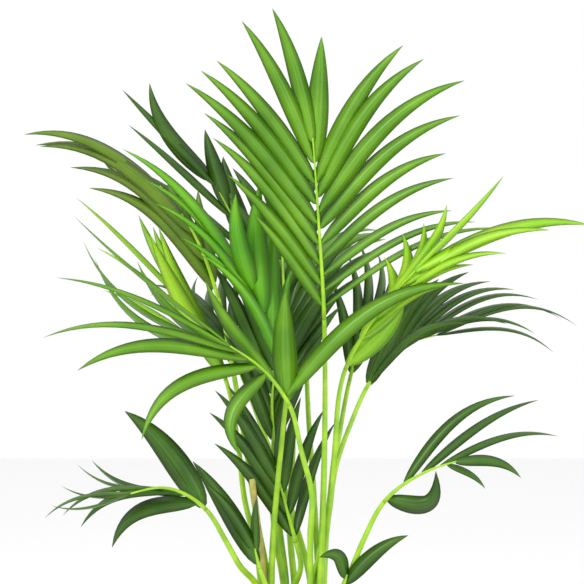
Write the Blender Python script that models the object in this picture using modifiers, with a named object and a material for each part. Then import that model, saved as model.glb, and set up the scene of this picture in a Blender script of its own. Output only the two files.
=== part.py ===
"""A potted kentia palm: a plain clay pot, six short stems, and fronds of leaflets on long petioles.

Sizes are in millimetres and angles in degrees, made metres by MM where a mesh is built.
X runs to the right, Y to the back and Z up, from the centre of the pot's flat underside.
"""

import bisect
import math
import random
from collections import namedtuple

import bmesh
import bpy
from mathutils import Vector
from mathutils.bvhtree import BVHTree

MM = 0.001
CLEARANCE = 0.3

# Pot and soil
POT_HEIGHT = 165.0
POT_FOOT_RADIUS = 72.0
POT_RIM_RADIUS = 98.0
POT_WALL = 7.0
RIM_BAND_HEIGHT = 34.0
RIM_BAND_STEP = 5.0
SOIL_TOP = 147.0

# Stems: each stands on the soil with a flared foot and carries its petioles in a ring on its flat top
STEM_TOP_RADIUS = 14.5
STEM_FLARE_RADIUS = 18.0
SEAT_RING = 8.8
Stem = namedtuple("Stem", "x y top")
STEMS = {
    "stem_right": Stem(24, -12, 246),
    "stem_left": Stem(-46, 4, 238),
    "stem_middle": Stem(-12, 36, 240),
    "stem_front": Stem(52, -36, 226),
    "stem_back": Stem(28, 46, 232),
    "stem_young": Stem(-22, -44, 214),
}

# Petioles and ribs
PETIOLE_FOOT_RADIUS = 4.9
KNEE_RADIUS = 3.1
RIB_TIP_RADIUS = 1.1
LIMB_SAMPLES = 160
LIMB_RINGS = 10
RIB_RINGS = 7
CUT_END = 1.5

# Leaflets
STATIONS = (0.06, 0.27, 0.53, 0.79)
LEAFLET_THICKNESS = 0.0105
WIDEST = 0.36
FOLD = 0.2
SWING_STEP = 3.0
SWINGS = 10
ROOT_INSET = 3.0

# An old petiole, cut off short
CUT_STEM = "stem_left"
CUT_SEAT = -88
CUT_PATH = [(-51, -8, 300), (-58, -8, 360), (-64, -8, 408)]
SOLVER = "EXACT"

# Leaflets of one side of a frond (-1 left, 1 right): how many, the stretch of the rib they stand on, and how they
# change along it as evenly spaced keys: lean from upright, reach, width, forward (to the viewer), sag and turn.
Fan = namedtuple("Fan", "side count start end lean reach width forward sag turn")
# A frond: the stem it stands on and its bearing on the stem's top, the points that its petiole and its rib pass, its
# tone, and its fans. The petiole's last point is the knee, where the rib starts.
Frond = namedtuple("Frond", "stem seat petiole rib tone fans")

FRONDS = {
    "frond_crown": Frond(
        "stem_right", -40, [(33, -22, 317), (37, -35, 478), (36, -50, 631)], [(27, -62, 783), (20, -75, 880)], "leaf",
        [Fan(-1, 9, 0.06, 0.98, (-36, -42, -43, -39, -17), (170, 225, 266, 226, 198), (19, 22, 24, 23, 24),
             (14, 12, 10, 8, 6), (0.03, 0.05, 0.05, 0.04, 0.03), (20, 15, 10, 5, 0)),
         Fan(1, 9, 0.06, 0.76, (68, 62, 54, 46, 33), (262, 205, 215, 262, 222), (13, 16, 22, 25, 25),
             (14, 12, 10, 8, 6), (0.10, 0.09, 0.09, 0.10, 0.06), (45, 30, 20, 10, 0)),
         Fan(1, 1, 0.87, 0.87, (2,), (180,), (31,), (6,), (0.0,), (0,))]),
    "frond_lime": Frond(
        "stem_right", 45, [(41, -12, 345), (50, -22, 438), (65, -50, 562)], [(108, -82, 639), (158, -112, 698)], "lime",
        [Fan(-1, 4, 0.02, 0.75, (18, 25, 30), (165, 150, 140), (34, 28, 20),
             (8, 8, 5), (0.22, 0.16, 0.08), (5, 15, 20)),
         Fan(-1, 1, 1.0, 1.0, (41,), (185,), (12,), (0,), (0.02,), (30,)),
         Fan(1, 5, 0.30, 1.0, (58, 66, 76), (140, 180, 248), (18, 17, 24),
             (20, 20, 10), (0.10, 0.10, 0.10), (40, 40, 30))]),
    "frond_left_front": Frond(
        "stem_right", -140, [(17, -32, 330), (19, -45, 389), (5, -60, 448), (-12, -85, 515)],
        [(-37, -105, 553), (-91, -150, 597)], "leaf",
        [Fan(-1, 5, 0.45, 1.0, (-164, -121, -95, -85, -69), (124, 198, 235, 255, 250), (24, 25, 24, 16, 12),
             (20, 20, 10, 5, 0), (0.24, 0.18, 0.12, 0.10, 0.06), (20, 30, 30, 50, 50)),
         Fan(1, 5, 0.3, 1.0, (-34, -50, -58, -55, -52), (170, 240, 258, 264, 280), (22, 22, 20, 14, 10),
             (0, -10, -15, -10, 0), (0.05, 0.10, 0.15, 0.12, 0.02), (20, 40, 50, 50, 50)),
         Fan(1, 1, 0.02, 0.02, (0,), (154,), (34,), (12,), (0.02,), (0,)),
         Fan(1, 1, 0.08, 0.08, (56,), (285,), (26,), (5,), (0.13,), (20,))]),
    "frond_left_back": Frond(
        "stem_left", 128, [(-60, 15, 316), (-75, 35, 373), (-85, 50, 453), (-103, 70, 543)],
        [(-134, 90, 607), (-163, 105, 658)], "lime",
        [Fan(-1, 3, 0.2, 0.9, (-58, -52, -46), (195, 205, 225), (13, 12, 12),
             (-10, -5, 5), (0.06, 0.05, 0.02), (50, 50, 50)),
         Fan(1, 4, 0.02, 0.9, (-27, -22, -28), (228, 180, 170), (28, 22, 20),
             (15, -10, -20), (0.02, 0.03, 0.03), (5, 20, 30))]),
    "frond_left_high": Frond(
        "stem_left", 56, [(-59, 4, 358), (-74, 12, 456), (-92, 28, 560), (-113, 45, 660)],
        [(-150, 60, 755), (-200, 80, 822)], "olive",
        [Fan(-1, 5, 0.05, 1.0, (-50, -60, -71), (238, 258, 205), (25, 26, 22),
             (-10, -5, 5), (0.13, 0.14, 0.12), (25, 30, 40)),
         Fan(1, 4, 0.1, 0.95, (-12, -30, -60), (140, 130, 110), (24, 22, 14),
             (-20, -30, -20), (0.03, 0.05, 0.1), (10, 20, 40))]),
    "frond_bright": Frond(
        "stem_left", -16, [(-34, -10, 337), (-28, -20, 408), (-21, -30, 478), (-17, -40, 541)],
        [(-38, -35, 610), (-62, -28, 668)], "bright",
        [Fan(-1, 5, 0.15, 1.0, (-36, -44, -42), (190, 230, 265), (18, 16, 18),
             (5, 5, 5), (0.10, 0.10, 0.08), (25, 30, 25)),
         Fan(1, 4, 0.3, 1.0, (8, 0, -9), (120, 190, 150), (20, 36, 28),
             (-15, -10, 20), (0.03, 0.03, 0.05), (10, 0, 0))]),
    "frond_inner": Frond(
        "stem_middle", -150, [(-33, 32, 330), (-38, 40, 417), (-35, 45, 452)], [(-37, 58, 515), (-26, 75, 590)], "dark",
        [Fan(-1, 5, 0.02, 1.0, (-26, -24, -20), (175, 215, 205), (20, 24, 22),
             (5, 0, -5), (0.03, 0.04, 0.03), (20, 20, 15)),
         Fan(1, 6, 0.02, 1.0, (26, 34, 34), (175, 235, 210), (24, 24, 22),
             (0, -5, -10), (0.04, 0.08, 0.08), (15, 20, 25))]),
    "frond_middle_back": Frond(
        "stem_middle", 30, [(-11, 46, 320), (-7, 62, 480), (-17, 88, 600)], [(-21, 105, 690), (-24, 122, 770)], "dark",
        [Fan(-1, 4, 0.05, 1.0, (-25, -32, -20), (150, 175, 140), (22, 24, 24),
             (0, -10, -10), (0.04, 0.05, 0.03), (20, 20, 10)),
         Fan(1, 4, 0.05, 1.0, (22, 30, 14), (150, 205, 140), (22, 24, 24),
             (0, -10, -10), (0.06, 0.08, 0.03), (20, 20, 10))]),
    "frond_high_back": Frond(
        "stem_middle", 120, [(-28, 60, 350), (-35, 100, 500), (-52, 140, 658)], [(-92, 165, 770), (-125, 180, 835)],
        "dark",
        [Fan(-1, 4, 0.1, 0.95, (-56, -50, -45), (185, 215, 200), (12, 14, 14),
             (0, 0, 0), (0.06, 0.02, 0.0), (30, 40, 20)),
         Fan(-1, 1, 1.0, 1.0, (-33,), (175,), (27,), (0,), (-0.10,), (20,)),
         Fan(1, 4, 0.05, 0.75, (-8, -12, -18), (120, 125, 120), (30, 30, 26),
             (-10, -10, -10), (0.02, 0.02, 0.02), (10, 10, 10))]),
    "frond_right_arch": Frond(
        "stem_right", 130, [(30, 2, 300), (42, 15, 349), (53, 40, 418), (79, 70, 489), (98, 85, 530)],
        [(148, 120, 588), (205, 155, 606)], "dark",
        [Fan(1, 6, 0.02, 0.75, (28, 40, 56, 72), (140, 185, 190, 200), (27, 25, 20, 16),
             (0, -10, -15, -15), (0.05, 0.10, 0.13, 0.14), (15, 30, 45, 55)),
         Fan(1, 2, 0.85, 1.0, (84, 88), (222, 218), (14, 14), (-15, -10), (0.15, 0.16), (60, 60)),
         Fan(1, 4, 0.05, 1.0, (58, 80, 100), (190, 190, 175), (18, 14, 12),
             (25, 20, 5), (0.14, 0.15, 0.14), (40, 55, 60))]),
    "frond_low_middle": Frond(
        "stem_middle", -60, [(4, 12, 285), (-3, 2, 318)], [(-15, 0, 362), (-32, 5, 425)], "dark",
        [Fan(-1, 4, 0.05, 1.0, (-42, -38, -28), (178, 186, 130), (22, 20, 15),
             (5, 5, 0), (0.06, 0.06, 0.02), (20, 20, 20)),
         Fan(1, 4, 0.05, 0.95, (22, 15, 8), (180, 150, 110), (16, 20, 16),
             (-10, -5, 0), (0.05, 0.04, 0.02), (20, 20, 20))]),
    "frond_low_left": Frond(
        "stem_left", -160, [(-58, -5, 258), (-80, -28, 288), (-99, -50, 325), (-126, -85, 373)],
        [(-180, -138, 407), (-222, -172, 402)], "dark",
        [Fan(-1, 4, 0.12, 1.0, (-116, -108, -106), (132, 138, 118), (27, 12, 10),
             (15, 5, 0), (0.20, 0.14, 0.12), (30, 50, 60)),
         Fan(1, 1, 0.0, 0.0, (-40,), (165,), (36,), (-5,), (-0.06,), (5,)),
         Fan(1, 4, 0.3, 1.0, (-70, -78, -88, -98), (145, 132, 118, 108), (15, 12, 12, 10),
             (-10, -10, -5, 0), (0.12, 0.12, 0.12, 0.10), (45, 55, 60, 60))]),
    "frond_low_right": Frond(
        "stem_front", 20, [(62, -40, 258), (73, -48, 285), (90, -62, 329), (117, -85, 383)],
        [(170, -130, 427), (210, -162, 444)], "dark",
        [Fan(-1, 1, 0.02, 0.02, (58,), (78,), (30,), (15,), (0.42,), (20,)),
         Fan(1, 3, 0.3, 0.8, (50, 59, 76), (200, 192, 168), (17, 15, 14),
             (-5, -10, -10), (0.13, 0.07, 0.10), (30, 40, 50)),
         Fan(1, 2, 0.9, 1.0, (124, 104), (60, 92), (12, 18), (10, 5), (0.10, 0.15), (40, 35))]),
    "frond_back": Frond(
        "stem_back", 80, [(24, 82, 360), (14, 130, 520), (12, 172, 620)], [(14, 235, 690), (16, 300, 705)], "leaf",
        [Fan(-1, 5, 0.05, 1.0, (-48, -58, -62), (170, 185, 175), (20, 22, 18),
             (-20, -35, -55), (0.10, 0.12, 0.14), (30, 40, 40)),
         Fan(1, 5, 0.05, 1.0, (48, 58, 62), (170, 185, 175), (20, 22, 18),
             (-20, -35, -55), (0.10, 0.12, 0.14), (30, 40, 40))]),
    "frond_back_left": Frond(
        "stem_back", 165, [(-4, 74, 340), (-52, 130, 470), (-80, 165, 540)], [(-112, 220, 600), (-150, 275, 615)], "dark",
        [Fan(-1, 5, 0.05, 1.0, (-40, -50, -58), (150, 150, 130), (20, 20, 16),
             (-20, -30, -45), (0.08, 0.12, 0.12), (30, 40, 40)),
         Fan(1, 5, 0.05, 1.0, (10, 5, -5), (150, 160, 140), (20, 20, 16),
             (-25, -40, -60), (0.05, 0.08, 0.08), (30, 40, 40))]),
    "frond_back_right": Frond(
        "stem_back", -5, [(42, 66, 340), (60, 118, 460), (76, 150, 540)], [(100, 208, 610), (128, 268, 640)], "dark",
        [Fan(-1, 5, 0.05, 1.0, (-10, 0, 10), (150, 165, 150), (20, 20, 16),
             (-20, -35, -55), (0.05, 0.08, 0.08), (30, 40, 40)),
         Fan(1, 5, 0.05, 1.0, (38, 50, 60), (150, 165, 145), (20, 20, 16),
             (-20, -30, -45), (0.08, 0.12, 0.12), (30, 40, 40))]),
    "frond_young_left": Frond(
        "stem_young", 170, [(-44, -38, 262), (-53, -34, 286)], [(-60, -33, 314)], "dark",
        [Fan(-1, 2, 0.1, 0.9, (-31, -34), (165, 120), (28, 18), (0, 10), (0.03, 0.05), (10, 20)),
         Fan(1, 1, 0.8, 0.8, (2,), (80,), (14,), (0,), (0.03,), (20,))]),
    "frond_young_right": Frond(
        "stem_front", -70, [(55, -56, 246), (61, -63, 262)], [(67, -68, 282)], "dark",
        [Fan(-1, 1, 0.8, 0.8, (-52,), (50,), (24,), (20,), (0.35,), (30,)),
         Fan(1, 1, 0.2, 0.2, (53,), (116,), (22,), (0,), (0.08,), (20,))]),
}

TONES = {
    "leaf": (0.08, 0.30, 0.012),
    "lime": (0.24, 0.50, 0.02),
    "bright": (0.13, 0.42, 0.012),
    "olive": (0.10, 0.24, 0.015),
    "dark": (0.03, 0.12, 0.01),
}


def material(name, colour, roughness):
    made = bpy.data.materials.new(name)
    made.use_nodes = True
    shader = made.node_tree.nodes["Principled BSDF"]
    shader.inputs["Base Color"].default_value = (*colour, 1.0)
    shader.inputs["Roughness"].default_value = roughness
    made.diffuse_color = (*colour, 1.0)
    return made


def between(keys, place):
    """The value at place, 0 to 1, between evenly spaced keys."""
    if len(keys) == 1:
        return keys[0]
    step = place * (len(keys) - 1)
    first = min(int(step), len(keys) - 2)
    return keys[first] + (keys[first + 1] - keys[first]) * (step - first)


class Limb:
    """A smooth curve that leaves its first point upright and passes the others, read by distance along it."""

    def __init__(self, points):
        knots = [Vector(point) for point in points]
        gaps = [(b - a).length for a, b in zip(knots, knots[1:])]
        slopes = [(b - a) / gap for a, b, gap in zip(knots, knots[1:], gaps)]
        tangents = [Vector((0, 0, 1))]
        for i in range(1, len(slopes)):
            tangents.append((slopes[i - 1] * gaps[i] + slopes[i] * gaps[i - 1]) / (gaps[i - 1] + gaps[i]))
        tangents.append(slopes[-1] * 1.5 - tangents[-1] * 0.5)
        self.points = [knots[0]]
        for i, gap in enumerate(gaps):
            for k in range(1, LIMB_SAMPLES + 1):
                t = k / LIMB_SAMPLES
                start = knots[i] * (2 * t**3 - 3 * t**2 + 1) + tangents[i] * (gap * (t**3 - 2 * t**2 + t))
                end = knots[i + 1] * (3 * t**2 - 2 * t**3) + tangents[i + 1] * (gap * (t**3 - t**2))
                self.points.append(start + end)
        self.marks = [0.0]
        for a, b in zip(self.points, self.points[1:]):
            self.marks.append(self.marks[-1] + (b - a).length)
        self.length = self.marks[-1]

    def mark_of_knot(self, knot):
        return self.marks[knot * LIMB_SAMPLES]

    def at(self, mark):
        mark = min(max(mark, 0.0), self.length)
        after = min(max(bisect.bisect_right(self.marks, mark), 1), len(self.marks) - 1)
        span = self.marks[after] - self.marks[after - 1]
        return self.points[after - 1].lerp(self.points[after], (mark - self.marks[after - 1]) / span)


def limb_object(name, limb, marks, radii, collection, look):
    """A tapering tube along the limb through the given marks, as a closed mesh."""
    curve = bpy.data.curves.new(name, "CURVE")
    curve.dimensions = "3D"
    curve.bevel_depth = MM
    curve.bevel_resolution = 1
    curve.use_fill_caps = True
    spline = curve.splines.new("POLY")
    spline.points.add(len(marks) - 1)
    for point, mark, radius in zip(spline.points, marks, radii):
        point.co = (*(limb.at(mark) * MM), 1.0)
        point.radius = radius
    drawn = bpy.data.objects.new(name, curve)
    collection.objects.link(drawn)
    graph = bpy.context.evaluated_depsgraph_get()
    mesh = bpy.data.meshes.new_from_object(drawn.evaluated_get(graph))
    bpy.data.objects.remove(drawn)
    bpy.data.curves.remove(curve)
    shell = bmesh.new()
    shell.from_mesh(mesh)
    bmesh.ops.remove_doubles(shell, verts=shell.verts, dist=1e-6)
    bmesh.ops.recalc_face_normals(shell, faces=shell.faces)
    shell.to_mesh(mesh)
    shell.free()
    return place(name, mesh, collection, look)


def place(name, mesh, collection, look):
    mesh.name = name
    mesh.materials.clear()
    mesh.materials.append(look)
    made = bpy.data.objects.new(name, mesh)
    collection.objects.link(made)
    return made


def evenly(start, end, count):
    return [start + (end - start) * i / (count - 1) for i in range(count)]


def squared(start, end, count):
    """Distances along a limb, with a short one at either end so that both ends are cut square."""
    return [start, *evenly(start + CUT_END, end - CUT_END, count - 2), end]


def leaflet_rings(root, side, lean, reach, width, forward, sag, turn, grown=0.0):
    """Root point, four-sided rings and tip of one leaflet, folded down from its midrib."""
    lean = math.radians(lean)
    forward = math.radians(forward)
    turn = math.radians(turn)
    chord = Vector((math.sin(lean) * math.cos(forward), -math.sin(forward), math.cos(lean) * math.cos(forward)))
    bow = Vector((-math.cos(lean), 0, math.sin(lean))) * side
    facing = chord.cross(bow) * side

    def line(u):
        return root + chord * (reach * u) + bow * (sag * reach * 2.6 * u * (1 - u * u))

    rings = []
    for u in STATIONS:
        along = (line(u + 0.01) - line(u - 0.01)).normalized()
        up = (bow - along * bow.dot(along)).normalized()
        face = facing * math.cos(turn) + up * math.sin(turn)
        across = along.cross(face)
        share = (u / WIDEST) ** 0.5 * ((1 - u) / (1 - WIDEST)) ** (0.5 * (1 - WIDEST) / WIDEST)
        half = width / 2 * share + grown
        thick = LEAFLET_THICKNESS * reach / 2 * (0.35 + 0.65 * share) + grown
        drop = face * (FOLD * half)
        centre = line(u)
        rings.append(
            [centre + across * half - drop, centre + face * thick, centre - across * half - drop, centre - face * thick]
        )
    return line(0), rings, line(1)


def loft(first, rings, last):
    """A closed mesh from a point, through rings of equal count, to a point."""
    shell = bmesh.new()
    start = shell.verts.new(first * MM)
    loops = [[shell.verts.new(point * MM) for point in ring] for ring in rings]
    end = shell.verts.new(last * MM)
    sides = len(loops[0])
    for k in range(sides):
        after = (k + 1) % sides
        shell.faces.new((start, loops[0][after], loops[0][k]))
        shell.faces.new((end, loops[-1][k], loops[-1][after]))
        for low, high in zip(loops, loops[1:]):
            shell.faces.new((low[k], low[after], high[after], high[k]))
    bmesh.ops.recalc_face_normals(shell, faces=shell.faces)
    bmesh.ops.triangulate(shell, faces=[face for face in shell.faces if len(face.verts) > 3])
    return shell


class Taken:
    """The room that solids of each frond take up, so that the next leaflets stay clear of it."""

    def __init__(self):
        self.solids = []

    def add(self, owner, shell):
        low = Vector(min(vert.co[i] for vert in shell.verts) for i in range(3))
        high = Vector(max(vert.co[i] for vert in shell.verts) for i in range(3))
        self.solids.append((owner, low, high, BVHTree.FromBMesh(shell)))

    def meets(self, owner, shell):
        low = Vector(min(vert.co[i] for vert in shell.verts) for i in range(3))
        high = Vector(max(vert.co[i] for vert in shell.verts) for i in range(3))
        tree = BVHTree.FromBMesh(shell)
        for name, start, end, other in self.solids:
            if name == owner:
                continue
            if any(high[i] < start[i] or end[i] < low[i] for i in range(3)):
                continue
            if tree.overlap(other):
                return True
        return False


def swings():
    """Angles to turn a leaflet forward or back by until it is clear: none, then wider to either side."""
    yield 0.0
    for step in range(1, SWINGS + 1):
        yield step * SWING_STEP
        yield -step * SWING_STEP


def leaflets_of(name, frond, rib_at, taken):
    """The closed meshes of a frond's leaflets, each clear of the fronds before it."""
    shells = []
    for number, fan in enumerate(frond.fans):
        chance = random.Random(f"{name} {number}")
        for i in range(fan.count):
            share = i / max(fan.count - 1, 1)
            root = rib_at(fan.start + (fan.end - fan.start) * share)
            lean = between(fan.lean, share) + chance.uniform(-2, 2)
            reach = between(fan.reach, share) * chance.uniform(0.96, 1.04)
            width = between(fan.width, share)
            forward = between(fan.forward, share) + chance.uniform(-4, 4)
            sag = between(fan.sag, share)
            turn = between(fan.turn, share)
            for swing in swings():
                shape = (root, fan.side, lean, reach, width, forward + swing, sag, turn)
                tried = loft(*leaflet_rings(*shape, grown=CLEARANCE))
                clear = not taken.meets(name, tried)
                tried.free()
                if clear:
                    shells.append(loft(*leaflet_rings(*shape)))
                    break
    return shells


def frond(name, collection, looks, taken):
    """The petiole, and the blade: a rib with leaflets fused on."""
    made = FRONDS[name]
    limb, knee = limb_of(name)
    rib_start = knee + CLEARANCE
    rib_length = limb.length - rib_start
    rib_marks = squared(rib_start, limb.length, RIB_RINGS)
    rib_radii = evenly(KNEE_RADIUS, RIB_TIP_RADIUS, RIB_RINGS)
    blade = limb_object(name + "_blade", limb, rib_marks, rib_radii, collection, looks[made.tone])

    def rib_at(share):
        return limb.at(rib_start + ROOT_INSET + (rib_length - 2 * ROOT_INSET) * share)

    loose = bpy.data.collections.new(name + "_leaflets")
    bpy.context.scene.collection.children.link(loose)
    for i, shell in enumerate(leaflets_of(name, made, rib_at, taken)):
        taken.add(name, shell)
        mesh = bpy.data.meshes.new(f"{name}_leaflet_{i}")
        shell.to_mesh(mesh)
        shell.free()
        place(mesh.name, mesh, loose, looks[made.tone])
    union = blade.modifiers.new("leaflets", "BOOLEAN")
    union.operation = "UNION"
    union.operand_type = "COLLECTION"
    union.collection = loose
    union.solver = SOLVER
    graph = bpy.context.evaluated_depsgraph_get()
    fused = bpy.data.meshes.new_from_object(blade.evaluated_get(graph))
    blade.modifiers.remove(union)
    blade.data = fused
    fused.name = name + "_blade"
    for leaflet in list(loose.objects):
        bpy.data.objects.remove(leaflet)
    bpy.data.collections.remove(loose)
    return blade


def limb_of(name):
    """The whole limb of a frond and the distance along it to the knee."""
    made = FRONDS[name]
    stem = STEMS[made.stem]
    turn = math.radians(made.seat)
    foot = (stem.x + SEAT_RING * math.cos(turn), stem.y + SEAT_RING * math.sin(turn), stem.top + CLEARANCE)
    limb = Limb([foot, *made.petiole, *made.rib])
    return limb, limb.mark_of_knot(len(made.petiole))


def turned(name, profile, steps, collection, look):
    """A solid turned round Z from a profile of (radius, height) points that runs down its outer side."""
    mesh = bpy.data.meshes.new(name)
    shell = bmesh.new()
    verts = [shell.verts.new((radius * MM, 0, height * MM)) for radius, height in profile]
    for a, b in zip(verts, verts[1:]):
        shell.edges.new((a, b))
    shell.to_mesh(mesh)
    shell.free()
    made = place(name, mesh, collection, look)
    screw = made.modifiers.new("turn", "SCREW")
    screw.steps = steps
    screw.render_steps = steps
    screw.use_merge_vertices = True
    screw.merge_threshold = 1e-5
    return made


def pot_radius(height):
    return POT_FOOT_RADIUS + (POT_RIM_RADIUS - RIM_BAND_STEP - POT_FOOT_RADIUS) * height / POT_HEIGHT


def pot(collection, look):
    band = POT_HEIGHT - RIM_BAND_HEIGHT
    inside = POT_WALL + CLEARANCE
    profile = [
        (0, POT_WALL),
        (pot_radius(POT_WALL) - POT_WALL, POT_WALL),
        (pot_radius(POT_HEIGHT) - POT_WALL, POT_HEIGHT),
        (POT_RIM_RADIUS, POT_HEIGHT),
        (pot_radius(band) + RIM_BAND_STEP, band),
        (pot_radius(band), band),
        (pot_radius(0), 0),
        (0, 0),
    ]
    turned("pot", profile, 40, collection, look["pot"])
    soil = [
        (0, SOIL_TOP),
        (pot_radius(SOIL_TOP) - inside, SOIL_TOP),
        (pot_radius(inside) - inside, inside),
        (0, inside),
    ]
    turned("soil", soil, 40, collection, look["soil"])


def stems(collection, look):
    for name, stem in STEMS.items():
        foot = SOIL_TOP + CLEARANCE
        height = stem.top - foot
        profile = [
            (0, stem.top),
            (STEM_TOP_RADIUS, stem.top),
            (STEM_TOP_RADIUS + 0.8, foot + height * 0.45),
            (STEM_FLARE_RADIUS, foot),
            (0, foot),
        ]
        made = turned(name, profile, 14, collection, look)
        made.location = (stem.x * MM, stem.y * MM, 0)


def stub(collection, look):
    """An old petiole, cut off short."""
    stem = STEMS[CUT_STEM]
    turn = math.radians(CUT_SEAT)
    foot = (stem.x + SEAT_RING * math.cos(turn), stem.y + SEAT_RING * math.sin(turn), stem.top + CLEARANCE)
    limb = Limb([foot, *CUT_PATH])
    limb_object("cut_petiole", limb, squared(0, limb.length, LIMB_RINGS), evenly(4.9, 4.0, LIMB_RINGS), collection, look)


def main():
    for old in list(bpy.data.objects):
        bpy.data.objects.remove(old)
    collection = bpy.data.collections.new("potted_kentia_palm")
    bpy.context.scene.collection.children.link(collection)
    looks = {tone: material(tone, colour, 0.4) for tone, colour in TONES.items()}
    looks["petiole"] = material("petiole", (0.33, 0.56, 0.02), 0.35)
    looks["stem"] = material("stem", (0.16, 0.17, 0.05), 0.6)
    looks["cut"] = material("cut", (0.35, 0.24, 0.08), 0.7)
    looks["pot"] = material("pot", (0.52, 0.22, 0.11), 0.8)
    looks["soil"] = material("soil", (0.05, 0.03, 0.02), 0.95)
    pot(collection, looks)
    stems(collection, looks["stem"])
    stub(collection, looks["cut"])
    taken = Taken()
    for name, made in FRONDS.items():
        limb, knee = limb_of(name)
        radii = evenly(PETIOLE_FOOT_RADIUS, KNEE_RADIUS, LIMB_RINGS)
        marks = squared(0, knee, LIMB_RINGS)
        petiole = limb_object(name + "_petiole", limb, marks, radii, collection, looks["petiole"])
        keep_room(taken, name + "_petiole", petiole)
    keep_room(taken, "cut_petiole", bpy.data.objects["cut_petiole"])
    for name in FRONDS:
        limb, knee = limb_of(name)
        marks = squared(knee + CLEARANCE, limb.length, RIB_RINGS)
        radii = evenly(KNEE_RADIUS, RIB_TIP_RADIUS, RIB_RINGS)
        rib = limb_object("rib", limb, marks, radii, collection, looks["petiole"])
        keep_room(taken, name, rib)
        bpy.data.objects.remove(rib)
    for name in FRONDS:
        frond(name, collection, looks, taken)


def keep_room(taken, owner, solid):
    shell = bmesh.new()
    shell.from_mesh(solid.data)
    taken.add(owner, shell)
    shell.free()


main()
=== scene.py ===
# %% [markdown]
# # A potted kentia palm
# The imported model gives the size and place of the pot, the stems and every frond. This lesson dresses it:
# each frond is grown again by the rule that shaped the solids, with thinner and smoother leaflets, and
# each surface gets a material made of nodes.

# %% Load the frame
import bisect
import math
import random
from collections import namedtuple

import bmesh
import bpy
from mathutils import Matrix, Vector
from mathutils.bvhtree import BVHTree


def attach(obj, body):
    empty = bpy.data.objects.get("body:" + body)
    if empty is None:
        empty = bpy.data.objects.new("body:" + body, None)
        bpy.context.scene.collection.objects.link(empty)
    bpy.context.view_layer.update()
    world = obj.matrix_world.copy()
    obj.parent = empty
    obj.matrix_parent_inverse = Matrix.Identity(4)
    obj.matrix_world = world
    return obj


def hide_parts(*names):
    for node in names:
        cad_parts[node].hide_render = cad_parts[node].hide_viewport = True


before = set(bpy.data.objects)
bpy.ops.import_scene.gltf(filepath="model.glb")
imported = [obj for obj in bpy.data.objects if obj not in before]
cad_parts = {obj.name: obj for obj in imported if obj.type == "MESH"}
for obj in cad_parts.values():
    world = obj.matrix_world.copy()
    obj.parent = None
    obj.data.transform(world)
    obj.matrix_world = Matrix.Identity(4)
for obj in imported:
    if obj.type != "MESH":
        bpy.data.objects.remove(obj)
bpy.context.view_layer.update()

# %% [markdown]
# ## Sizes
# They are the plant's own, in millimetres and degrees. Six stems stand on the soil, and each carries its
# petioles in a ring. A frond is told by the points its limb passes and by fans of leaflets, whose lean,
# reach, width and bend change smoothly along the rib, as they do on the real leaf.

# %% Stems, limbs and leaflets
MM = 0.001
CLEARANCE = 0.3
SEAT_RING = 8.8
Stem = namedtuple("Stem", "x y top")
STEMS = {
    "stem_right": Stem(24, -12, 246),
    "stem_left": Stem(-46, 4, 238),
    "stem_middle": Stem(-12, 36, 240),
    "stem_front": Stem(52, -36, 226),
    "stem_back": Stem(28, 46, 232),
    "stem_young": Stem(-22, -44, 214),
}

# Petioles and ribs; the coarse rings only serve the test of clearance
PETIOLE_FOOT_RADIUS = 4.9
KNEE_RADIUS = 3.1
RIB_TIP_RADIUS = 1.1
LIMB_SAMPLES = 160
LIMB_RINGS = 10
RIB_RINGS = 7
LIMB_SIDES = 6
CUT_END = 1.5
HEADING_STEP = 0.5
FINE_LIMB_RINGS = 40
FINE_RIB_RINGS = 16
FINE_LIMB_SIDES = 10

# Leaflets
STATIONS = (0.06, 0.27, 0.53, 0.79)
LEAFLET_THICKNESS = 0.0105
WIDEST = 0.36
FOLD = 0.2
BOW_SCALE = 2.6
END_THICKNESS = 0.35
ADDED_THICKNESS = 0.65
LINE_STEP = 0.01
SWING_STEP = 3.0
SWINGS = 10
ROOT_INSET = 3.0
LEAN_SCATTER = 2
FORWARD_SCATTER = 4
REACH_SCATTER = (0.96, 1.04)

# The leaflets that are drawn have more rings and are thinner
FINE_COUNT = 18
FINE_FIRST = 0.02
FINE_SPAN = 0.965
FINE_STATIONS = tuple(FINE_FIRST + FINE_SPAN * i / (FINE_COUNT - 1) for i in range(FINE_COUNT))
FINE_THICKNESS = 0.003
ACROSS = (0.0, 0.5, 1.0, 0.5)

# %% The fronds
# Leaflets of one side of a frond (-1 left, 1 right): how many, the stretch of the rib they stand on, and
# how they change along it as evenly spaced keys: lean from upright, reach, width, forward (to the
# viewer), sag and turn.
Fan = namedtuple("Fan", "side count start end lean reach width forward sag turn")
# A frond: the stem it stands on and its bearing on the stem's top, the points that its petiole and its
# rib pass, its tone, and its fans. The petiole's last point is the knee, where the rib starts.
Frond = namedtuple("Frond", "stem seat petiole rib tone fans")

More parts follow.
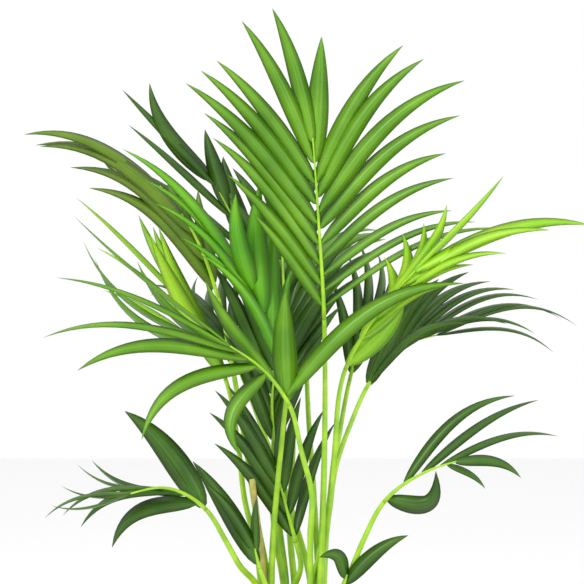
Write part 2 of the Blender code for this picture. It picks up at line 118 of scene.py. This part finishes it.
FRONDS = {
    "frond_crown": Frond(
        "stem_right", -40, [(33, -22, 317), (37, -35, 478), (36, -50, 631)],
        [(27, -62, 783), (20, -75, 880)], "leaf",
        [Fan(-1, 9, 0.06, 0.98, (-36, -42, -43, -39, -17), (170, 225, 266, 226, 198), (19, 22, 24, 23, 24),
             (14, 12, 10, 8, 6), (0.03, 0.05, 0.05, 0.04, 0.03), (20, 15, 10, 5, 0)),
         Fan(1, 9, 0.06, 0.76, (68, 62, 54, 46, 33), (262, 205, 215, 262, 222), (13, 16, 22, 25, 25),
             (14, 12, 10, 8, 6), (0.10, 0.09, 0.09, 0.10, 0.06), (45, 30, 20, 10, 0)),
         Fan(1, 1, 0.87, 0.87, (2,), (180,), (31,), (6,), (0.0,), (0,))]),
    "frond_lime": Frond(
        "stem_right", 45, [(41, -12, 345), (50, -22, 438), (65, -50, 562)],
        [(108, -82, 639), (158, -112, 698)], "lime",
        [Fan(-1, 4, 0.02, 0.75, (18, 25, 30), (165, 150, 140), (34, 28, 20),
             (8, 8, 5), (0.22, 0.16, 0.08), (5, 15, 20)),
         Fan(-1, 1, 1.0, 1.0, (41,), (185,), (12,), (0,), (0.02,), (30,)),
         Fan(1, 5, 0.30, 1.0, (58, 66, 76), (140, 180, 248), (18, 17, 24),
             (20, 20, 10), (0.10, 0.10, 0.10), (40, 40, 30))]),
    "frond_left_front": Frond(
        "stem_right", -140, [(17, -32, 330), (19, -45, 389), (5, -60, 448), (-12, -85, 515)],
        [(-37, -105, 553), (-91, -150, 597)], "leaf",
        [Fan(-1, 5, 0.45, 1.0, (-164, -121, -95, -85, -69), (124, 198, 235, 255, 250), (24, 25, 24, 16, 12),
             (20, 20, 10, 5, 0), (0.24, 0.18, 0.12, 0.10, 0.06), (20, 30, 30, 50, 50)),
         Fan(1, 5, 0.3, 1.0, (-34, -50, -58, -55, -52), (170, 240, 258, 264, 280), (22, 22, 20, 14, 10),
             (0, -10, -15, -10, 0), (0.05, 0.10, 0.15, 0.12, 0.02), (20, 40, 50, 50, 50)),
         Fan(1, 1, 0.02, 0.02, (0,), (154,), (34,), (12,), (0.02,), (0,)),
         Fan(1, 1, 0.08, 0.08, (56,), (285,), (26,), (5,), (0.13,), (20,))]),
    "frond_left_back": Frond(
        "stem_left", 128, [(-60, 15, 316), (-75, 35, 373), (-85, 50, 453), (-103, 70, 543)],
        [(-134, 90, 607), (-163, 105, 658)], "lime",
        [Fan(-1, 3, 0.2, 0.9, (-58, -52, -46), (195, 205, 225), (13, 12, 12),
             (-10, -5, 5), (0.06, 0.05, 0.02), (50, 50, 50)),
         Fan(1, 4, 0.02, 0.9, (-27, -22, -28), (228, 180, 170), (28, 22, 20),
             (15, -10, -20), (0.02, 0.03, 0.03), (5, 20, 30))]),
    "frond_left_high": Frond(
        "stem_left", 56, [(-59, 4, 358), (-74, 12, 456), (-92, 28, 560), (-113, 45, 660)],
        [(-150, 60, 755), (-200, 80, 822)], "olive",
        [Fan(-1, 5, 0.05, 1.0, (-50, -60, -71), (238, 258, 205), (25, 26, 22),
             (-10, -5, 5), (0.13, 0.14, 0.12), (25, 30, 40)),
         Fan(1, 4, 0.1, 0.95, (-12, -30, -60), (140, 130, 110), (24, 22, 14),
             (-20, -30, -20), (0.03, 0.05, 0.1), (10, 20, 40))]),
    "frond_bright": Frond(
        "stem_left", -16, [(-34, -10, 337), (-28, -20, 408), (-21, -30, 478), (-17, -40, 541)],
        [(-38, -35, 610), (-62, -28, 668)], "bright",
        [Fan(-1, 5, 0.15, 1.0, (-36, -44, -42), (190, 230, 265), (18, 16, 18),
             (5, 5, 5), (0.10, 0.10, 0.08), (25, 30, 25)),
         Fan(1, 4, 0.3, 1.0, (8, 0, -9), (120, 190, 150), (20, 36, 28),
             (-15, -10, 20), (0.03, 0.03, 0.05), (10, 0, 0))]),
    "frond_inner": Frond(
        "stem_middle", -150, [(-33, 32, 330), (-38, 40, 417), (-35, 45, 452)],
        [(-37, 58, 515), (-26, 75, 590)], "dark",
        [Fan(-1, 5, 0.02, 1.0, (-26, -24, -20), (175, 215, 205), (20, 24, 22),
             (5, 0, -5), (0.03, 0.04, 0.03), (20, 20, 15)),
         Fan(1, 6, 0.02, 1.0, (26, 34, 34), (175, 235, 210), (24, 24, 22),
             (0, -5, -10), (0.04, 0.08, 0.08), (15, 20, 25))]),
    "frond_middle_back": Frond(
        "stem_middle", 30, [(-11, 46, 320), (-7, 62, 480), (-17, 88, 600)],
        [(-21, 105, 690), (-24, 122, 770)], "dark",
        [Fan(-1, 4, 0.05, 1.0, (-25, -32, -20), (150, 175, 140), (22, 24, 24),
             (0, -10, -10), (0.04, 0.05, 0.03), (20, 20, 10)),
         Fan(1, 4, 0.05, 1.0, (22, 30, 14), (150, 205, 140), (22, 24, 24),
             (0, -10, -10), (0.06, 0.08, 0.03), (20, 20, 10))]),
    "frond_high_back": Frond(
        "stem_middle", 120, [(-28, 60, 350), (-35, 100, 500), (-52, 140, 658)],
        [(-92, 165, 770), (-125, 180, 835)],
        "dark",
        [Fan(-1, 4, 0.1, 0.95, (-56, -50, -45), (185, 215, 200), (12, 14, 14),
             (0, 0, 0), (0.06, 0.02, 0.0), (30, 40, 20)),
         Fan(-1, 1, 1.0, 1.0, (-33,), (175,), (27,), (0,), (-0.10,), (20,)),
         Fan(1, 4, 0.05, 0.75, (-8, -12, -18), (120, 125, 120), (30, 30, 26),
             (-10, -10, -10), (0.02, 0.02, 0.02), (10, 10, 10))]),
    "frond_right_arch": Frond(
        "stem_right", 130, [(30, 2, 300), (42, 15, 349), (53, 40, 418), (79, 70, 489), (98, 85, 530)],
        [(148, 120, 588), (205, 155, 606)], "dark",
        [Fan(1, 6, 0.02, 0.75, (28, 40, 56, 72), (140, 185, 190, 200), (27, 25, 20, 16),
             (0, -10, -15, -15), (0.05, 0.10, 0.13, 0.14), (15, 30, 45, 55)),
         Fan(1, 2, 0.85, 1.0, (84, 88), (222, 218), (14, 14), (-15, -10), (0.15, 0.16), (60, 60)),
         Fan(1, 4, 0.05, 1.0, (58, 80, 100), (190, 190, 175), (18, 14, 12),
             (25, 20, 5), (0.14, 0.15, 0.14), (40, 55, 60))]),
    "frond_low_middle": Frond(
        "stem_middle", -60, [(4, 12, 285), (-3, 2, 318)], [(-15, 0, 362), (-32, 5, 425)], "dark",
        [Fan(-1, 4, 0.05, 1.0, (-42, -38, -28), (178, 186, 130), (22, 20, 15),
             (5, 5, 0), (0.06, 0.06, 0.02), (20, 20, 20)),
         Fan(1, 4, 0.05, 0.95, (22, 15, 8), (180, 150, 110), (16, 20, 16),
             (-10, -5, 0), (0.05, 0.04, 0.02), (20, 20, 20))]),
    "frond_low_left": Frond(
        "stem_left", -160, [(-58, -5, 258), (-80, -28, 288), (-99, -50, 325), (-126, -85, 373)],
        [(-180, -138, 407), (-222, -172, 402)], "dark",
        [Fan(-1, 4, 0.12, 1.0, (-116, -108, -106), (132, 138, 118), (27, 12, 10),
             (15, 5, 0), (0.20, 0.14, 0.12), (30, 50, 60)),
         Fan(1, 1, 0.0, 0.0, (-40,), (165,), (36,), (-5,), (-0.06,), (5,)),
         Fan(1, 4, 0.3, 1.0, (-70, -78, -88, -98), (145, 132, 118, 108), (15, 12, 12, 10),
             (-10, -10, -5, 0), (0.12, 0.12, 0.12, 0.10), (45, 55, 60, 60))]),
    "frond_low_right": Frond(
        "stem_front", 20, [(62, -40, 258), (73, -48, 285), (90, -62, 329), (117, -85, 383)],
        [(170, -130, 427), (210, -162, 444)], "dark",
        [Fan(-1, 1, 0.02, 0.02, (58,), (78,), (30,), (15,), (0.42,), (20,)),
         Fan(1, 3, 0.3, 0.8, (50, 59, 76), (200, 192, 168), (17, 15, 14),
             (-5, -10, -10), (0.13, 0.07, 0.10), (30, 40, 50)),
         Fan(1, 2, 0.9, 1.0, (124, 104), (60, 92), (12, 18), (10, 5), (0.10, 0.15), (40, 35))]),
    "frond_back": Frond(
        "stem_back", 80, [(24, 82, 360), (14, 130, 520), (12, 172, 620)],
        [(14, 235, 690), (16, 300, 705)], "leaf",
        [Fan(-1, 5, 0.05, 1.0, (-48, -58, -62), (170, 185, 175), (20, 22, 18),
             (-20, -35, -55), (0.10, 0.12, 0.14), (30, 40, 40)),
         Fan(1, 5, 0.05, 1.0, (48, 58, 62), (170, 185, 175), (20, 22, 18),
             (-20, -35, -55), (0.10, 0.12, 0.14), (30, 40, 40))]),
    "frond_back_left": Frond(
        "stem_back", 165, [(-4, 74, 340), (-52, 130, 470), (-80, 165, 540)],
        [(-112, 220, 600), (-150, 275, 615)], "dark",
        [Fan(-1, 5, 0.05, 1.0, (-40, -50, -58), (150, 150, 130), (20, 20, 16),
             (-20, -30, -45), (0.08, 0.12, 0.12), (30, 40, 40)),
         Fan(1, 5, 0.05, 1.0, (10, 5, -5), (150, 160, 140), (20, 20, 16),
             (-25, -40, -60), (0.05, 0.08, 0.08), (30, 40, 40))]),
    "frond_back_right": Frond(
        "stem_back", -5, [(42, 66, 340), (60, 118, 460), (76, 150, 540)],
        [(100, 208, 610), (128, 268, 640)], "dark",
        [Fan(-1, 5, 0.05, 1.0, (-10, 0, 10), (150, 165, 150), (20, 20, 16),
             (-20, -35, -55), (0.05, 0.08, 0.08), (30, 40, 40)),
         Fan(1, 5, 0.05, 1.0, (38, 50, 60), (150, 165, 145), (20, 20, 16),
             (-20, -30, -45), (0.08, 0.12, 0.12), (30, 40, 40))]),
    "frond_young_left": Frond(
        "stem_young", 170, [(-44, -38, 262), (-53, -34, 286)], [(-60, -33, 314)], "dark",
        [Fan(-1, 2, 0.1, 0.9, (-31, -34), (165, 120), (28, 18), (0, 10), (0.03, 0.05), (10, 20)),
         Fan(1, 1, 0.8, 0.8, (2,), (80,), (14,), (0,), (0.03,), (20,))]),
    "frond_young_right": Frond(
        "stem_front", -70, [(55, -56, 246), (61, -63, 262)], [(67, -68, 282)], "dark",
        [Fan(-1, 1, 0.8, 0.8, (-52,), (50,), (24,), (20,), (0.35,), (30,)),
         Fan(1, 1, 0.2, 0.2, (53,), (116,), (22,), (0,), (0.08,), (20,))]),
}

# %% [markdown]
# ## The growing rule
# A limb is a smooth curve through a few points. A leaflet is a chord with a bow in it, folded down along
# its midrib, widest at a third of its length. Lofting rings along that line is the plain way to make a
# blade whose section changes all the way.

# %% Read keys and curves
def between(keys, place):
    """The value at place, 0 to 1, between evenly spaced keys."""
    if len(keys) == 1:
        return keys[0]
    step = place * (len(keys) - 1)
    first = min(int(step), len(keys) - 2)
    return keys[first] + (keys[first + 1] - keys[first]) * (step - first)


class Limb:
    """A smooth curve that leaves its first point upright and passes the others, read by distance along it."""

    def __init__(self, points):
        knots = [Vector(point) for point in points]
        gaps = [(b - a).length for a, b in zip(knots, knots[1:])]
        slopes = [(b - a) / gap for a, b, gap in zip(knots, knots[1:], gaps)]
        tangents = [Vector((0, 0, 1))]
        for i in range(1, len(slopes)):
            tangents.append((slopes[i - 1] * gaps[i] + slopes[i] * gaps[i - 1]) / (gaps[i - 1] + gaps[i]))
        tangents.append(slopes[-1] * 1.5 - tangents[-1] * 0.5)
        self.points = [knots[0]]
        for i, gap in enumerate(gaps):
            for k in range(1, LIMB_SAMPLES + 1):
                t = k / LIMB_SAMPLES
                start = knots[i] * (2 * t**3 - 3 * t**2 + 1) + tangents[i] * (gap * (t**3 - 2 * t**2 + t))
                end = knots[i + 1] * (3 * t**2 - 2 * t**3) + tangents[i + 1] * (gap * (t**3 - t**2))
                self.points.append(start + end)
        self.marks = [0.0]
        for a, b in zip(self.points, self.points[1:]):
            self.marks.append(self.marks[-1] + (b - a).length)
        self.length = self.marks[-1]

    def mark_of_knot(self, knot):
        return self.marks[knot * LIMB_SAMPLES]

    def at(self, mark):
        mark = min(max(mark, 0.0), self.length)
        after = min(max(bisect.bisect_right(self.marks, mark), 1), len(self.marks) - 1)
        span = self.marks[after] - self.marks[after - 1]
        return self.points[after - 1].lerp(self.points[after], (mark - self.marks[after - 1]) / span)


def evenly(start, end, count):
    return [start + (end - start) * i / (count - 1) for i in range(count)]


def squared(start, end, count):
    """Distances along a limb, with a short one at either end so that both ends are cut square."""
    return [start, *evenly(start + CUT_END, end - CUT_END, count - 2), end]


def limb_of(name):
    """The whole limb of a frond and the distance along it to the knee."""
    made = FRONDS[name]
    stem = STEMS[made.stem]
    turn = math.radians(made.seat)
    foot = (stem.x + SEAT_RING * math.cos(turn), stem.y + SEAT_RING * math.sin(turn), stem.top + CLEARANCE)
    limb = Limb([foot, *made.petiole, *made.rib])
    return limb, limb.mark_of_knot(len(made.petiole))

print(len(FRONDS), "fronds on", len(STEMS), "stems")

# %% Rings and lofts
def leaflet_rings(
    root, side, lean, reach, width, forward, sag, turn, grown=0.0, stations=STATIONS, thin=LEAFLET_THICKNESS
):
    """Root point, four-sided rings and tip of one leaflet, folded down from its midrib."""
    lean = math.radians(lean)
    forward = math.radians(forward)
    turn = math.radians(turn)
    level = math.cos(forward)
    chord = Vector((math.sin(lean) * level, -math.sin(forward), math.cos(lean) * level))
    bow = Vector((-math.cos(lean), 0, math.sin(lean))) * side
    facing = chord.cross(bow) * side

    def line(u):
        return root + chord * (reach * u) + bow * (sag * reach * BOW_SCALE * u * (1 - u * u))

    rings = []
    for u in stations:
        along = (line(u + LINE_STEP) - line(u - LINE_STEP)).normalized()
        up = (bow - along * bow.dot(along)).normalized()
        face = facing * math.cos(turn) + up * math.sin(turn)
        across = along.cross(face)
        share = (u / WIDEST) ** 0.5 * ((1 - u) / (1 - WIDEST)) ** (0.5 * (1 - WIDEST) / WIDEST)
        half = width / 2 * share + grown
        thick = thin * reach / 2 * (END_THICKNESS + ADDED_THICKNESS * share) + grown
        drop = face * (FOLD * half)
        centre = line(u)
        edge = across * half
        ridge = face * thick
        rings.append([centre + edge - drop, centre + ridge, centre - edge - drop, centre - ridge])
    return line(0), rings, line(1)


def sew(shell, first, rings, last):
    """Adds a closed skin to a bmesh, from a point through rings of equal count to a point."""
    start = shell.verts.new(first * MM)
    loops = [[shell.verts.new(point * MM) for point in ring] for ring in rings]
    end = shell.verts.new(last * MM)
    sides = len(loops[0])
    faces = []
    for k in range(sides):
        after = (k + 1) % sides
        faces.append(shell.faces.new((start, loops[0][after], loops[0][k])))
        faces.append(shell.faces.new((end, loops[-1][k], loops[-1][after])))
        for low, high in zip(loops, loops[1:]):
            faces.append(shell.faces.new((low[k], low[after], high[after], high[k])))
    return start, loops, end, faces


def loft(first, rings, last):
    """One leaflet as a closed mesh of its own, for the test of clearance."""
    shell = bmesh.new()
    sew(shell, first, rings, last)
    bmesh.ops.recalc_face_normals(shell, faces=shell.faces)
    bmesh.ops.triangulate(shell, faces=[face for face in shell.faces if len(face.verts) > 3])
    return shell


# %% Keep clear of the other fronds
class Taken:
    """The room that solids of each frond take up, so that the next leaflets stay clear of it."""

    def __init__(self):
        self.solids = []

    def add(self, owner, shell):
        low = Vector(min(vert.co[i] for vert in shell.verts) for i in range(3))
        high = Vector(max(vert.co[i] for vert in shell.verts) for i in range(3))
        self.solids.append((owner, low, high, BVHTree.FromBMesh(shell)))

    def meets(self, owner, shell):
        low = Vector(min(vert.co[i] for vert in shell.verts) for i in range(3))
        high = Vector(max(vert.co[i] for vert in shell.verts) for i in range(3))
        tree = BVHTree.FromBMesh(shell)
        for name, start, end, other in self.solids:
            if name == owner:
                continue
            if any(high[i] < start[i] or end[i] < low[i] for i in range(3)):
                continue
            if tree.overlap(other):
                return True
        return False


def swings():
    """Angles to turn a leaflet forward or back by until it is clear: none, then wider to either side."""
    yield 0.0
    for step in range(1, SWINGS + 1):
        yield step * SWING_STEP
        yield -step * SWING_STEP


# %% [markdown]
# ## Leaf and stalk materials
# A leaflet of this palm is glossy, with fine veins that run its whole length. The veins follow the blade,
# so they are read from its UV map: U runs across the blade and V along it. One node group gives every
# green the same veins, and each tone keeps its own colours. Two tones are the leaf green made lighter and
# darker: painted light and painted shade.

# %% The vein group
def link(tree, a, b):
    tree.links.new(a, b)


def node(tree, kind, **values):
    made = tree.nodes.new(kind)
    for name, value in values.items():
        setattr(made, name, value)
    return made


veins = bpy.data.node_groups.new("leaf_veins", "ShaderNodeTree")
veins.interface.new_socket("Pale", in_out="INPUT", socket_type="NodeSocketColor")
veins.interface.new_socket("Deep", in_out="INPUT", socket_type="NodeSocketColor")
veins.interface.new_socket("Color", in_out="OUTPUT", socket_type="NodeSocketColor")
veins.interface.new_socket("Height", in_out="OUTPUT", socket_type="NodeSocketFloat")
group_in = node(veins, "NodeGroupInput")
group_out = node(veins, "NodeGroupOutput")
place_on_blade = node(veins, "ShaderNodeUVMap", uv_map="UVMap")
stretch = node(veins, "ShaderNodeMapping")
stretch.inputs["Scale"].default_value = (1.0, 0.04, 1.0)
link(veins, place_on_blade.outputs["UV"], stretch.inputs["Vector"])
fine = node(veins, "ShaderNodeTexNoise")
fine.inputs["Scale"].default_value = 10.0
fine.inputs["Detail"].default_value = 3.0
link(veins, stretch.outputs["Vector"], fine.inputs["Vector"])
blotch = node(veins, "ShaderNodeTexNoise")
blotch.inputs["Scale"].default_value = 14.0
here = node(veins, "ShaderNodeTexCoord")
link(veins, here.outputs["Object"], blotch.inputs["Vector"])
both = node(veins, "ShaderNodeMath", operation="ADD")
link(veins, fine.outputs["Fac"], both.inputs[0])
link(veins, blotch.outputs["Fac"], both.inputs[1])
spread = node(veins, "ShaderNodeMapRange")
spread.inputs["From Min"].default_value = 0.75
spread.inputs["From Max"].default_value = 1.25
link(veins, both.outputs[0], spread.inputs["Value"])
# Inputs 6 and 7 and output 2 are the mix node's colours
blend = node(veins, "ShaderNodeMix", data_type="RGBA")
link(veins, spread.outputs["Result"], blend.inputs["Factor"])
link(veins, group_in.outputs["Deep"], blend.inputs[6])
link(veins, group_in.outputs["Pale"], blend.inputs[7])
link(veins, blend.outputs[2], group_out.inputs["Color"])
link(veins, fine.outputs["Fac"], group_out.inputs["Height"])


# %% Leaf tones
TONES = {
    "leaf": ((0.14, 0.33, 0.01), (0.06, 0.19, 0.004)),
    "lime": ((0.34, 0.60, 0.02), (0.16, 0.42, 0.008)),
    # The leaf green made lighter for one frond: painted light
    "bright": ((0.15, 0.42, 0.01), (0.06, 0.28, 0.004)),
    "olive": ((0.14, 0.25, 0.01), (0.06, 0.13, 0.006)),
    # The leaf green made darker for the inner, back and low fronds: painted shade
    "dark": ((0.06, 0.16, 0.008), (0.02, 0.07, 0.004)),
}


def leaf_material(name, pale, deep):
    made = bpy.data.materials.new(name)
    made.use_nodes = True
    tree = made.node_tree
    shader = tree.nodes["Principled BSDF"]
    shader.inputs["Roughness"].default_value = 0.38
    shader.inputs["Specular IOR Level"].default_value = 0.3
    shader.inputs["Coat Weight"].default_value = 0.1
    shader.inputs["Coat Roughness"].default_value = 0.25
    pattern = node(tree, "ShaderNodeGroup", node_tree=veins)
    pattern.inputs["Pale"].default_value = (*pale, 1.0)
    pattern.inputs["Deep"].default_value = (*deep, 1.0)
    link(tree, pattern.outputs["Color"], shader.inputs["Base Color"])
    bump = node(tree, "ShaderNodeBump")
    bump.inputs["Strength"].default_value = 0.35
    bump.inputs["Distance"].default_value = 0.001
    link(tree, pattern.outputs["Height"], bump.inputs["Height"])
    link(tree, bump.outputs["Normal"], shader.inputs["Normal"])
    return made


def speckled(name, pale, deep, roughness, scale, relief):
    """A matt material that wavers between two colours, with a relief of the same grain."""
    made = bpy.data.materials.new(name)
    made.use_nodes = True
    tree = made.node_tree
    shader = tree.nodes["Principled BSDF"]
    shader.inputs["Roughness"].default_value = roughness
    where = node(tree, "ShaderNodeTexCoord")
    grain = node(tree, "ShaderNodeTexNoise")
    grain.inputs["Scale"].default_value = scale
    grain.inputs["Detail"].default_value = 6.0
    link(tree, where.outputs["Object"], grain.inputs["Vector"])
    ramp = node(tree, "ShaderNodeValToRGB")
    ramp.color_ramp.elements[0].position = 0.35
    ramp.color_ramp.elements[0].color = (*deep, 1.0)
    ramp.color_ramp.elements[1].position = 0.65
    ramp.color_ramp.elements[1].color = (*pale, 1.0)
    link(tree, grain.outputs["Fac"], ramp.inputs["Fac"])
    link(tree, ramp.outputs["Color"], shader.inputs["Base Color"])
    bump = node(tree, "ShaderNodeBump")
    bump.inputs["Strength"].default_value = 0.5
    bump.inputs["Distance"].default_value = relief
    link(tree, grain.outputs["Fac"], bump.inputs["Height"])
    link(tree, bump.outputs["Normal"], shader.inputs["Normal"])
    return made


LEAF_LOOKS = {tone: leaf_material("leaf_" + tone, *colours) for tone, colours in TONES.items()}
PETIOLE_LOOK = speckled(
    "green_stalk", (0.36, 0.62, 0.015), (0.22, 0.46, 0.01), roughness=0.35, scale=40.0, relief=0.0004
)
CUT_LOOK = speckled(
    "old_stalk", (0.55, 0.52, 0.12), (0.30, 0.22, 0.06), roughness=0.6, scale=60.0, relief=0.0006
)
STEM_LOOK = speckled(
    "sheathed_stem", (0.32, 0.36, 0.10), (0.13, 0.12, 0.04), roughness=0.6, scale=70.0, relief=0.001
)
CLAY_LOOK = speckled(
    "fired_clay", (0.55, 0.24, 0.12), (0.40, 0.15, 0.07), roughness=0.8, scale=30.0, relief=0.0004
)
SOIL_LOOK = speckled(
    "compost", (0.10, 0.065, 0.04), (0.018, 0.011, 0.007), roughness=0.95, scale=160.0, relief=0.004
)
print(len(bpy.data.materials), "materials")

# %% [markdown]
# ## Growing the plant
# First every petiole and rib takes its room, then each frond's leaflets are laid in turn, and one that
# would touch another frond is swung a little forward or back. The coarse leaflet decides that, as in the
# solids, and the fine one is drawn in its place. The old cut petiole is not counted here, so
# frond_low_middle is not quite where its solid is.

# %% Stalks
def tube(limb, marks, radii, sides):
    """A tapering tube as a bmesh, from rings of a circle carried along the limb."""
    shell = bmesh.new()
    loops = []
    for mark, radius in zip(marks, radii):
        along = (limb.at(mark + HEADING_STEP) - limb.at(mark - HEADING_STEP)).normalized()
        place = along.to_track_quat("Z", "Y").to_matrix().to_4x4()
        place.translation = limb.at(mark) * MM
        made = bmesh.ops.create_circle(shell, segments=sides, radius=radius * MM, matrix=place)
        ring = set(made["verts"])
        loops.append([edge for edge in shell.edges if all(vert in ring for vert in edge.verts)])
    for low, high in zip(loops, loops[1:]):
        bmesh.ops.bridge_loops(shell, edges=low + high)
    bmesh.ops.holes_fill(shell, edges=shell.edges, sides=sides)
    bmesh.ops.recalc_face_normals(shell, faces=shell.faces)
    return shell


def finish_piece(name, shell, look, replaced):
    """Makes the bmesh a smooth object that takes the place of a node of the frame."""
    mesh = bpy.data.meshes.new(name)
    shell.to_mesh(mesh)
    shell.free()
    mesh.materials.append(look)
    mesh.shade_smooth()
    piece = bpy.data.objects.new(name, mesh)
    bpy.context.scene.collection.objects.link(piece)
    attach(piece, "root")
    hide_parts(replaced)


taken = Taken()
for name in FRONDS:
    limb, knee = limb_of(name)
    marks = squared(0, knee, LIMB_RINGS)
    shell = tube(limb, marks, evenly(PETIOLE_FOOT_RADIUS, KNEE_RADIUS, LIMB_RINGS), LIMB_SIDES)
    taken.add(name + "_petiole", shell)
    shell.free()
    marks = evenly(0, knee, FINE_LIMB_RINGS)
    stalk = tube(limb, marks, evenly(PETIOLE_FOOT_RADIUS, KNEE_RADIUS, FINE_LIMB_RINGS), FINE_LIMB_SIDES)
    finish_piece(name + "_stalk", stalk, PETIOLE_LOOK, name + "_petiole")
for name in FRONDS:
    limb, knee = limb_of(name)
    marks = squared(knee + CLEARANCE, limb.length, RIB_RINGS)
    shell = tube(limb, marks, evenly(KNEE_RADIUS, RIB_TIP_RADIUS, RIB_RINGS), LIMB_SIDES)
    taken.add(name, shell)
    shell.free()
print("stalks laid")


# %% Leaflets
def add_blade(whole, shape):
    """Adds one fine leaflet to the frond's bmesh, with U across and V along it."""
    first, rings, last = leaflet_rings(*shape, stations=FINE_STATIONS, thin=FINE_THICKNESS)
    start, loops, end, faces = sew(whole, first, rings, last)
    where = {start: (0.5, 0.0), end: (0.5, 1.0)}
    for station, ring in zip(FINE_STATIONS, loops):
        for place_across, vert in zip(ACROSS, ring):
            where[vert] = (place_across, station)
    layer = whole.loops.layers.uv.verify()
    for face in faces:
        for corner in face.loops:
            corner[layer].uv = where[corner.vert]


count = 0
for name, made in FRONDS.items():
    limb, knee = limb_of(name)
    rib_start = knee + CLEARANCE
    rib_length = limb.length - rib_start
    whole = bmesh.new()
    whole.loops.layers.uv.new("UVMap")
    for number, fan in enumerate(made.fans):
        chance = random.Random(f"{name} {number}")
        for i in range(fan.count):
            share = i / max(fan.count - 1, 1)
            along_rib = fan.start + (fan.end - fan.start) * share
            root = limb.at(rib_start + ROOT_INSET + (rib_length - 2 * ROOT_INSET) * along_rib)
            lean = between(fan.lean, share) + chance.uniform(-LEAN_SCATTER, LEAN_SCATTER)
            reach = between(fan.reach, share) * chance.uniform(*REACH_SCATTER)
            width = between(fan.width, share)
            forward = between(fan.forward, share) + chance.uniform(-FORWARD_SCATTER, FORWARD_SCATTER)
            sag = between(fan.sag, share)
            turn = between(fan.turn, share)
            for swing in swings():
                shape = (root, fan.side, lean, reach, width, forward + swing, sag, turn)
                tried = loft(*leaflet_rings(*shape, grown=CLEARANCE))
                clear = not taken.meets(name, tried)
                tried.free()
                if clear:
                    coarse = loft(*leaflet_rings(*shape))
                    taken.add(name, coarse)
                    coarse.free()
                    add_blade(whole, shape)
                    count += 1
                    break
    bmesh.ops.recalc_face_normals(whole, faces=whole.faces)
    finish_piece(name + "_leaflets", whole, LEAF_LOOKS[made.tone], name + "_blade")
    marks = evenly(rib_start, limb.length, FINE_RIB_RINGS)
    rib = tube(limb, marks, evenly(KNEE_RADIUS, RIB_TIP_RADIUS, FINE_RIB_RINGS), FINE_LIMB_SIDES)
    finish_piece(name + "_rib", rib, PETIOLE_LOOK, name + "_blade")
print(count, "leaflets")

# %% [markdown]
# ## Pot, soil and stems
# Their solids already have the right shape, so they keep it and take a material of their own: matt fired
# clay, dark crumbly compost and fibrous stems.

# %% Finish the carried-over nodes
KEPT = {"pot": CLAY_LOOK, "soil": SOIL_LOOK, "cut_petiole": CUT_LOOK}
KEPT.update({name: STEM_LOOK for name in STEMS})
for name, look in KEPT.items():
    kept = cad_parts[name]
    for index in range(len(kept.material_slots)):
        kept.material_slots[index].material = look
print(len(KEPT), "solids dressed")

# %% [markdown]
# ## Studio
# A pale floor, a white room and large soft lights, as a shop photographs its plants. The camera is level
# with the middle of the crown and far enough away to keep the fronds' proportions.

# %% Floor, lights and camera
FLOOR_WIDTH = 12
FLOOR_DROP = 0.001
AIM = Vector((0, 0, 0.6))
CAMERA_ACROSS = -0.0084
CAMERA_HEIGHT = 0.6692
CAMERA_DISTANCE = 3.2
VIEW_WIDTH = 0.8176
SENSOR_WIDTH = 36

bpy.ops.mesh.primitive_plane_add(size=FLOOR_WIDTH, location=(0, 0, -FLOOR_DROP))
floor = bpy.context.object
floor.name = "floor"
floor_look = bpy.data.materials.new("pale_floor")
floor_look.use_nodes = True
floor_look.node_tree.nodes["Principled BSDF"].inputs["Base Color"].default_value = (0.92, 0.92, 0.92, 1.0)
floor.data.materials.append(floor_look)

world = bpy.data.worlds.new("studio")
bpy.context.scene.world = world
world.use_nodes = True
world.node_tree.nodes["Background"].inputs["Color"].default_value = (1.0, 1.0, 1.0, 1.0)
world.node_tree.nodes["Background"].inputs["Strength"].default_value = 1.0


def soft_light(name, place, size, power):
    lamp = bpy.data.lights.new(name, "AREA")
    lamp.size = size
    lamp.energy = power
    made = bpy.data.objects.new(name, lamp)
    made.location = place
    made.rotation_euler = (AIM - Vector(place)).to_track_quat("-Z", "Y").to_euler()
    bpy.context.scene.collection.objects.link(made)


soft_light("key", (-1.6, -2.2, 2.4), size=1.2, power=60)
soft_light("fill", (2.2, -1.8, 1.4), size=1.6, power=22)

lens = bpy.data.cameras.new("camera")
lens.sensor_width = SENSOR_WIDTH
lens.lens = SENSOR_WIDTH * CAMERA_DISTANCE / VIEW_WIDTH
camera = bpy.data.objects.new("camera", lens)
camera.location = (CAMERA_ACROSS, -CAMERA_DISTANCE, CAMERA_HEIGHT)
camera.rotation_euler = (math.pi / 2, 0, 0)
bpy.context.scene.collection.objects.link(camera)
bpy.context.scene.camera = camera
bpy.context.scene.view_settings.view_transform = "Standard"
